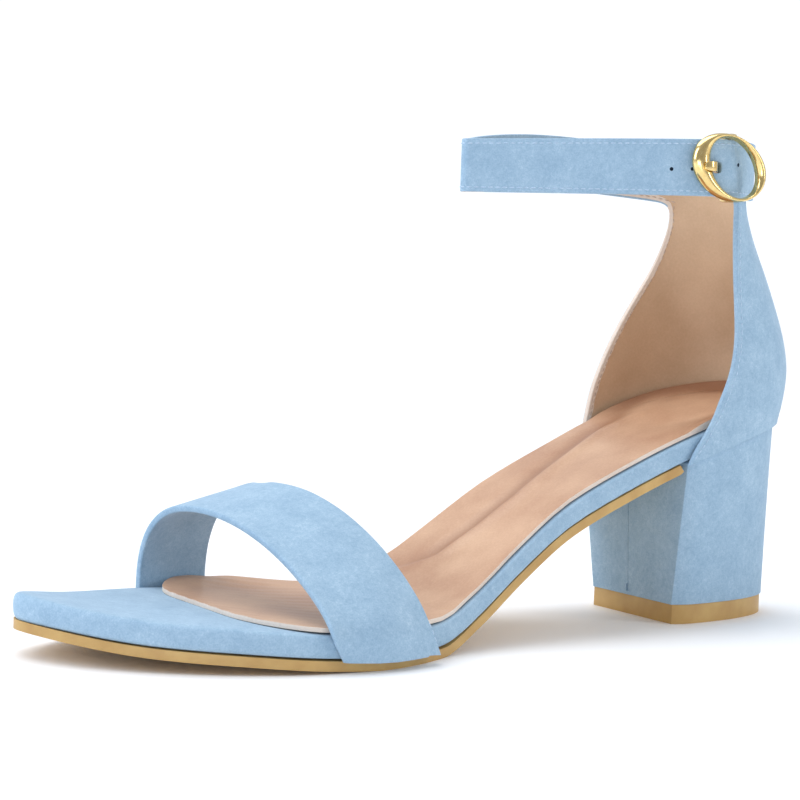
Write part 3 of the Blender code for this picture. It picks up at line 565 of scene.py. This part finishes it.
def model_stitch(material):
    """One stitch: a thread that dips into the cloth at both ends."""
    bpy.ops.object.select_all(action="DESELECT")
    bpy.ops.mesh.primitive_uv_sphere_add(segments=6, ring_count=6, radius=0.5)
    stitch = bpy.context.active_object
    stitch.data.materials.append(material)
    bpy.ops.object.mode_set(mode="EDIT")
    bpy.ops.mesh.select_all(action="SELECT")
    bpy.ops.transform.rotate(value=math.pi / 2, orient_axis="Y", center_override=(0, 0, 0))
    bpy.ops.transform.resize(value=(STITCH_LENGTH, THREAD_THICKNESS, THREAD_THICKNESS),
                             center_override=(0, 0, 0))
    bpy.ops.mesh.faces_shade_smooth()
    bpy.ops.object.mode_set(mode="OBJECT")
    return stitch


def anywhere(spot):
    """Wants a stitch at every place."""
    return True


def sew(name, row, piece, material, wanted=anywhere):
    """Copy a stitch along a row of points on a piece, where a place is wanted."""
    surface = surface_of(piece)
    stitch = model_stitch(material)
    copies = []
    for place, along in evenly(row, STITCH_PITCH):
        spot, normal, _, _ = surface.find_nearest(place)
        if not wanted(spot):
            continue
        along = (along - normal * along.dot(normal)).normalized()
        turn = Matrix((along, normal.cross(along), normal)).transposed().to_4x4()
        copy = bpy.data.objects.new(name, stitch.data.copy())
        copy.data.transform(Matrix.Translation(spot) @ turn)
        bpy.context.collection.objects.link(copy)
        copies.append(copy)
    bpy.data.objects.remove(stitch, do_unlink=True)
    pick(copies[0])
    for copy in copies:
        copy.select_set(True)
    bpy.ops.object.join()
    seam = bpy.context.active_object
    seam.name = name
    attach(seam, "root")
    print(name, "has", len(copies), "stitches")


# %% [markdown]
# ## Heel counter and ankle strap
# The back of the upper is one hollow shell of suede over a tan lining. It cups the heel, narrows
# to the ankle and runs on as the strap. The copy's walls are told apart by where they point. A
# wall that points away from the middle line of the ankle loop is suede, and one that points to it
# is lining. The narrow edge between them points neither way. Above a height the fold that shows
# inside is the strap's own blue, and below it, on the inner side, the folded edge is pale.

# %% Counter and strap: tell the walls apart
ANKLE_MIDDLE = Vector((0.0182, 0, 0))
STRAP_END = Vector((0.0780, -0.0068, 0))
BAR_PLACE = Vector((0.0152, 0.0239, 0))
SLEEVE_REACH = 2.5 * MILLIMETRE
BLUE_MARGIN_FROM = 0.132
INNER_EDGE_TOP = 0.1225
LOW_EDGE_BELOW = 0.07
STRAP_CORNER = Vector((0.0002, -0.0161, 0.1228))
WALL_FACING = 0.5
EDGE_FACING = 0.45
INNER_SIDE_FROM = -0.004
DOWN_FACING = -0.6


def from_loop_middle(point):
    """Direction in plan from the middle line of the ankle loop to a point."""
    flat = Vector((point.x, point.y, 0))
    run = STRAP_END - ANKLE_MIDDLE
    share = max(0.0, min(1.0, (flat - ANKLE_MIDDLE).dot(run) / run.length_squared))
    return flat - (ANKLE_MIDDLE + run * share)


def on_wall(face, side):
    """True where a face off the bar's sleeve looks out of the loop (1) or into it (-1)."""
    away = from_loop_middle(face.center)
    from_bar = (face.center.xy - BAR_PLACE.xy).length
    return face.normal.dot(away.normalized()) * side > WALL_FACING and from_bar > SLEEVE_REACH


counter = welded_copy("upper_heel_counter_ankle_strap", "counter_and_ankle_strap",
                      blue_suede, lining_leather, pale_edge)
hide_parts("upper_heel_counter_ankle_strap")
outer_count = choose_faces(counter, lambda face: on_wall(face, 1))
print("Outer wall faces:", outer_count)

# %% Counter and strap: roll the folded edges
LINING, FOLDED = 1, 2
inset_edge(FOLD_ROLL)
inset_edge(STITCH_FROM_EDGE - FOLD_ROLL)
suede_row = max(border_rows(counter), key=len)
choose_faces(counter, lambda face: on_wall(face, -1))
inset_edge(FOLD_ROLL)
assign_selected(FOLDED)
inset_edge(STITCH_FROM_EDGE - FOLD_ROLL)
assign_selected(LINING)
lining_row = max(border_rows(counter), key=len)
for face in counter.data.polygons:
    if face.material_index == FOLDED and face.center.z > BLUE_MARGIN_FROM:
        face.material_index = 0
    edge_on = face.normal.dot(from_loop_middle(face.center).normalized()) < EDGE_FACING
    inner_side = face.center.y < INNER_SIDE_FROM and face.center.z < INNER_EDGE_TOP
    if edge_on and inner_side and face.material_index == 0:
        face.material_index = FOLDED
keep_crisp(counter, lambda face: face.normal.z < DOWN_FACING and face.center.z < LOW_EDGE_BELOW)
crease_corner(counter, STRAP_CORNER)
soften(counter, 2, smooth_angle=60)
print("Points:", len(suede_row), "on the suede row,", len(lining_row), "on the lining row")

# %% [markdown]
# The strap has a row of small punched holes for the prong. Each is a shallow round pit, cut where
# a short line from the buckle's middle meets the strap. Its walls and floor are painted dark blue,
# painted shade for the depth of a hole through the strap.

# %% Counter and strap: punch the holes
HOLE_PLACES = (17.6, -1.1), (11.5, -0.8), (-3.2, 1.1)
HOLE_RADIUS = 0.55 * MILLIMETRE
HOLE_DEPTH = 0.8 * MILLIMETRE
CLEAR_OF_RING = 0.02
PIT = 3
BAR_HEIGHT = 0.1311
RING_TURN = math.radians(15)
RING_WAY = Vector((math.cos(RING_TURN), -math.sin(RING_TURN), 0))
OUT_WAY = Vector((math.sin(RING_TURN), math.cos(RING_TURN), 0))
# Painted shade: a dark blue for the walls and floor of each pit, standing in for the shade deep in
# a hole through the strap.
hole_painted_shade, _ = new_material("punched_hole_painted_shade", Roughness=0.95, Base_Color=linear("#2E3F52"))
counter.data.materials.append(hole_painted_shade)


def punch(piece, forward, up):
    """Cut one small pit into the strap, square to its surface, with its walls and floor painted
    dark as painted shade.
    """
    start = Vector((BAR_PLACE.x, BAR_PLACE.y, BAR_HEIGHT + up * MILLIMETRE))
    start += RING_WAY * forward * MILLIMETRE + OUT_WAY * CLEAR_OF_RING
    spot, normal, _, _ = surface_of(piece).ray_cast(start, -OUT_WAY)
    bpy.ops.object.select_all(action="DESELECT")
    bpy.ops.mesh.primitive_cylinder_add(vertices=20, radius=HOLE_RADIUS, depth=2 * HOLE_DEPTH,
                                        location=spot,
                                        rotation=normal.to_track_quat("Z", "Y").to_euler())
    cutter = bpy.context.active_object
    for material in piece.data.materials:
        cutter.data.materials.append(material)
    for face in cutter.data.polygons:
        face.material_index = PIT
    apply_modifier(piece, "BOOLEAN", object=cutter, operation="DIFFERENCE", solver="EXACT")
    bpy.data.objects.remove(cutter, do_unlink=True)


for forward, up in HOLE_PLACES:
    punch(counter, forward, up)
print("Holes:", len(HOLE_PLACES))

# %% Counter and strap: sew
SEAM_FROM_HEEL = 3 * MILLIMETRE
SEAM_FROM_BAR = 4 * MILLIMETRE
heel_surface = surface_of(frame["nodes"]["heel_block"])
frame_low, frame_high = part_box("buckle_frame")
bar_middle = Vector((BAR_PLACE.x, BAR_PLACE.y, (frame_low.z + frame_high.z) / 2))


def off_the_heel(spot):
    """True above the seam where the counter meets the heel, and clear of the buckle's bar."""
    return (heel_surface.find_nearest(spot)[3] > SEAM_FROM_HEEL
            and (spot - bar_middle).length > SEAM_FROM_BAR)


sew("strap_and_counter_stitches", suede_row, counter, blue_thread, off_the_heel)
sew("lining_stitches", lining_row, counter, tan_thread, off_the_heel)

# %% [markdown]
# ## Band over the toes
# The band is a folded strip of suede, blue inside and out, drawn down over both sides of the
# footbed. Its edges are rolled rather than sewn, so only a narrow inset keeps them tight, and
# three stitches tack its rear corner down on the outer side.

# %% Band over the toes
BAND_MIDDLE = Vector((0.142, -0.003, 0.013))
BAND_FACING = 0.35
BAND_FOOT_BELOW = 0.006
TACK_ROW = (Vector((0.1222, 0.0416, 0.0112)), Vector((0.1210, 0.0418, 0.0077)),
            Vector((0.1197, 0.0418, 0.0048)))


def on_band_wall(face, side):
    """True where a face of the band looks out (side 1) or in (side -1), and not along its edge."""
    away = face.center - BAND_MIDDLE
    away.x = 0
    return face.normal.dot(away.normalized()) * side > BAND_FACING


band = welded_copy("upper_toe_strap", "toe_band", blue_suede)
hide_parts("upper_toe_strap")
for side in (1, -1):
    choose_faces(band, lambda face: on_band_wall(face, side))
    inset_edge(FOLD_ROLL)
keep_crisp(band, lambda face: face.normal.z < DOWN_FACING and face.center.z < BAND_FOOT_BELOW)
soften(band, 2, smooth_angle=60)
sew("band_stitches", TACK_ROW, band, blue_thread)
print("Band faces:", len(band.data.polygons))

# %% [markdown]
# ## Footbed and heel
# Both are cores wrapped in the same suede: a board under the foot and a moulded block under the
# seat. The wrap is pulled tight, so the long edges stay crisp and the rest is smooth. The heel's
# wrap meets in a fine seam down the middle of its breast, with a small notch at the foot.

# %% Footbed and heel
TOE_FROM = 0.168
TOE_EASE = 0.6
SEAM_FOOT = Vector((0.0233, -0.0006, 0.0068))
SEAM_HEAD = Vector((0.0238, -0.0016, 0.0335))
SEAM_WIDTH = 0.2 * MILLIMETRE
NOTCH_HEIGHT = 2.2 * MILLIMETRE
NOTCH_WIDTH = 0.9 * MILLIMETRE


def cut_groove(piece, foot, head, width):
    """Cut a thin straight groove into a piece, as deep as it is wide."""
    middle = (foot + head) / 2
    spot, normal, _, _ = surface_of(piece).find_nearest(middle)
    along = (head - foot).normalized()
    turn = Matrix((normal, along.cross(normal), along)).transposed()
    bpy.ops.object.select_all(action="DESELECT")
    bpy.ops.mesh.primitive_cube_add(size=1, location=spot, rotation=turn.to_euler(),
                                    scale=(2 * width, width, (head - foot).length))
    cutter = bpy.context.active_object
    cutter.data.materials.append(piece.data.materials[0])
    apply_modifier(piece, "BOOLEAN", object=cutter, operation="DIFFERENCE", solver="EXACT")
    bpy.data.objects.remove(cutter, do_unlink=True)


footbed = welded_copy("footbed", "wrapped_footbed", blue_suede)
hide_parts("footbed")
crease_sharp_edges(footbed, 60)
choose_faces(footbed, lambda face: face.normal.z > UP_FACING and face.center.x > TOE_FROM)
bpy.ops.transform.edge_crease(value=-TOE_EASE)
soften(footbed, 2, edge=0.1 * MILLIMETRE)
heel = welded_copy("heel_block", "wrapped_heel", blue_suede)
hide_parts("heel_block")
crease_sharp_edges(heel, 50)
soften(heel, 2, edge=0.25 * MILLIMETRE)
cut_groove(heel, SEAM_FOOT, SEAM_HEAD, SEAM_WIDTH)
cut_groove(heel, SEAM_FOOT, SEAM_FOOT + Vector((0, 0, NOTCH_HEIGHT)), NOTCH_WIDTH)
print("Footbed and heel faces:", len(footbed.data.polygons), len(heel.data.polygons))

# %% [markdown]
# ## Rubber outsole and top piece
# The outsole is a thin sheet cemented on and pressed out to the edge of the board over it, and the
# top piece is a moulded block nailed under the heel. The thin gaps over both are closed, and both
# get a slightly worn edge.

# %% Outsole and top piece
GLUE_LINE = 0.28 * MILLIMETRE
SOLE_PRESSED_OUT = 0.7 * MILLIMETRE
PRESSED_IN = 0.25 * MILLIMETRE
RIM_FACING = 0.3


def press_out(piece, width):
    """Move a sheet's side walls outward in plan, to the edge of the footbed over it."""
    sides = [point.index for point in piece.data.vertices if point.normal.xy.length > RIM_FACING]
    ways = {index: piece.data.vertices[index].normal.xy.normalized() for index in sides}
    for index, way in ways.items():
        piece.data.vertices[index].co += Vector((way.x, way.y, 0)) * width


def raise_top(piece, height):
    """Close the thin gap over a piece by raising its upper faces."""
    choose_faces(piece, lambda face: face.normal.z > UP_FACING)
    bpy.ops.transform.translate(value=(0, 0, height))


outsole = welded_copy("outsole", "rubber_outsole", sole_rubber)
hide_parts("outsole")
press_out(outsole, SOLE_PRESSED_OUT)
raise_top(outsole, GLUE_LINE + PRESSED_IN)
crease_sharp_edges(outsole, 50)
soften(outsole, 1, edge=0.15 * MILLIMETRE)
top_piece = welded_copy("heel_top_piece", "rubber_top_piece", sole_rubber)
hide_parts("heel_top_piece")
raise_top(top_piece, GLUE_LINE)
crease_sharp_edges(top_piece, 50)
soften(top_piece, 2, edge=0.15 * MILLIMETRE)
print("Rubber faces:", len(outsole.data.polygons), len(top_piece.data.polygons))

# %% [markdown]
# ## Sock
# The sock is tan leather over a thin cushion. Its long soft crease follows the inner arch, its
# inner rim lifts under the toes, and small wrinkles cross it there. A fine grid is cut into the
# copy, and its points are then raised or lowered by their place. Each point also stores how much
# shade is painted on it, and the leather reads that value to paint shade into the hollow beside
# the crease and round the cup of the seat.

# %% Sock: the crease and the cushion
Place = namedtuple("Place", "forward outward")
CREASE_LINE = (
    Place(13.0, -10.5),
    Place(29.6, -9.0),
    Place(48.8, -2.9),
    Place(66.5, 2.2),
    Place(80.0, 2.3),
    Place(91.5, 0.0),
    Place(99.0, -9.0),
)
CREASE_HEIGHT = 1.3 * MILLIMETRE
CREASE_WIDTH = 2.0 * MILLIMETRE
HOLLOW_DEPTH = 1.0 * MILLIMETRE
HOLLOW_WIDTH = 3.0 * MILLIMETRE
HOLLOW_BESIDE = 1.4 * HOLLOW_WIDTH
# Where and how strongly shade is painted on the sock: beside the crease, and round the cup of the
# seat.
SHADE_BESIDE = 1.3 * HOLLOW_WIDTH
CREASE_SHADE = 0.6
SEAT_MIDDLE = Vector((0.005, 0.0))
CUP_STARTS = (0.015, 0.021)
SEAT_ENDS = (0.006, 0.03)
SEAT_SHADE = 0.75
RIM_LIFT = 1.5 * MILLIMETRE
WRINKLE_HEIGHT = 0.10 * MILLIMETRE
WRINKLE_LENGTH = 5.0 * MILLIMETRE
WRINKLE_WAY = Vector((0.54, 0.84))
WRINKLE_WANDER = 2.0 * MILLIMETRE
WANDER_LENGTH = 13.0 * MILLIMETRE
WRINKLE_FADE = 11.0 * MILLIMETRE
ARCH_STARTS = (0.005, 0.03)
ARCH_ENDS = (0.085, 0.105)
RIM_STARTS = (0.022, 0.036)
TOES_START = (0.118, 0.14)
TOES_END = (0.15, 0.168)
WRINKLES_START = (0.115, 0.13)
GRID_STEP = 1.6 * MILLIMETRE
PALE_SIDE = 1
SIDE_FACING = 0.45
TOP_FACING = 0.2


def smooth_step(value, start, end):
    """Rise gently from 0 at a start to 1 at an end."""
    share = max(0.0, min(1.0, (value - start) / (end - start)))
    return share * share * (3 - 2 * share)


def crease_outward(forward):
    """Sideways place of the crease at a place along the sock."""
    for near, far in zip(CREASE_LINE, CREASE_LINE[1:]):
        if forward / MILLIMETRE <= far.forward or far is CREASE_LINE[-1]:
            share = (forward / MILLIMETRE - near.forward) / (far.forward - near.forward)
            return (near.outward + (far.outward - near.outward) * share) * MILLIMETRE


def slice_piece(piece, across, start, end, step):
    """Cut a piece with evenly spaced planes, so that it has a grid to shape."""
    for count in range(1, int((end - start) / step)):
        bpy.ops.mesh.select_all(action="SELECT")
        bpy.ops.mesh.bisect(plane_co=Vector(across) * (start + count * step), plane_no=across)


def between(value, start, end):
    """Rise over a first span and fall again over a second one."""
    return smooth_step(value, *start) * (1 - smooth_step(value, *end))


def sock_relief(point):
    """How far the cushion lifts the sock's top at a point."""
    beside = point.y - crease_outward(point.x)
    arch = between(point.x, ARCH_STARTS, ARCH_ENDS)
    crease = CREASE_HEIGHT * math.exp(-(beside / CREASE_WIDTH) ** 2)
    hollow = HOLLOW_DEPTH * math.exp(-((beside + HOLLOW_BESIDE) / HOLLOW_WIDTH) ** 2)
    inner_rim = smooth_step(-point.y, *RIM_STARTS)
    under_toes = between(point.x, TOES_START, TOES_END)
    wave = point.xy.dot(WRINKLE_WAY) + WRINKLE_WANDER * math.sin(point.x / WANDER_LENGTH)
    wrinkle = math.sin(2 * math.pi * wave / WRINKLE_LENGTH) * math.cos(point.x / WRINKLE_FADE)
    return (arch * (crease - hollow) + under_toes * inner_rim * RIM_LIFT
            + smooth_step(point.x, *WRINKLES_START) * WRINKLE_HEIGHT * wrinkle)


def sock_painted_shade(point):
    """How much shade is painted on the sock beside its crease and round the cup of the seat."""
    beside = point.y - crease_outward(point.x)
    arch = between(point.x, ARCH_STARTS, ARCH_ENDS)
    hollow = math.exp(-((beside + SHADE_BESIDE) / HOLLOW_WIDTH) ** 2)
    from_seat = (point.xy - SEAT_MIDDLE).length
    cup = smooth_step(from_seat, *CUP_STARTS) * (1 - smooth_step(point.x, *SEAT_ENDS))
    return min(1.0, CREASE_SHADE * arch * hollow + SEAT_SHADE * cup)


sock = welded_copy("insole", "tan_sock", sock_leather, pale_edge)
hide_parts("insole")
choose_faces(sock, lambda face: abs(face.normal.z) < SIDE_FACING)
assign_selected(PALE_SIDE)
choose_faces(sock, lambda face: face.normal.z < -UP_FACING)
bpy.ops.transform.translate(value=(0, 0, -GLUE_LINE))
low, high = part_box("insole")
slice_piece(sock, (0, 1, 0), low.y, high.y, GRID_STEP)
slice_piece(sock, (1, 0, 0), low.x, high.x, GRID_STEP)
bpy.ops.object.mode_set(mode="OBJECT")
upper_points = [point.index for point in sock.data.vertices if point.normal.z > TOP_FACING]
# Each upper point stores how much shade is painted on it, and is then raised or lowered.
painted_shade = sock.data.attributes.new("painted_shade", "FLOAT", "POINT")
for index in upper_points:
    point = sock.data.vertices[index]
    painted_shade.data[index].value = sock_painted_shade(point.co)
    point.co.z += sock_relief(point.co)
crease_sharp_edges(sock, 50)
soften(sock, 1, edge=0.15 * MILLIMETRE, smooth_angle=50)
print("Sock faces:", len(sock.data.polygons))

# %% [markdown]
# ## Buckle
# The ring is domed and polished, and it is cast in one with the bar behind the strap. The prong
# is a flat strip bent round the bar. Both keep their measured shape, subdivided so that
# reflections run smoothly round them.

# %% Buckle
ring = welded_copy("buckle_frame", "buckle_ring", gold_plate)
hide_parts("buckle_frame")
soften(ring, 2, smooth_angle=60)
prong = welded_copy("buckle_prong", "prong", gold_plate)
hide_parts("buckle_prong")
crease_sharp_edges(prong, 50)
soften(prong, 1, edge=0.15 * MILLIMETRE)
print("Buckle faces:", len(ring.data.polygons), len(prong.data.polygons))
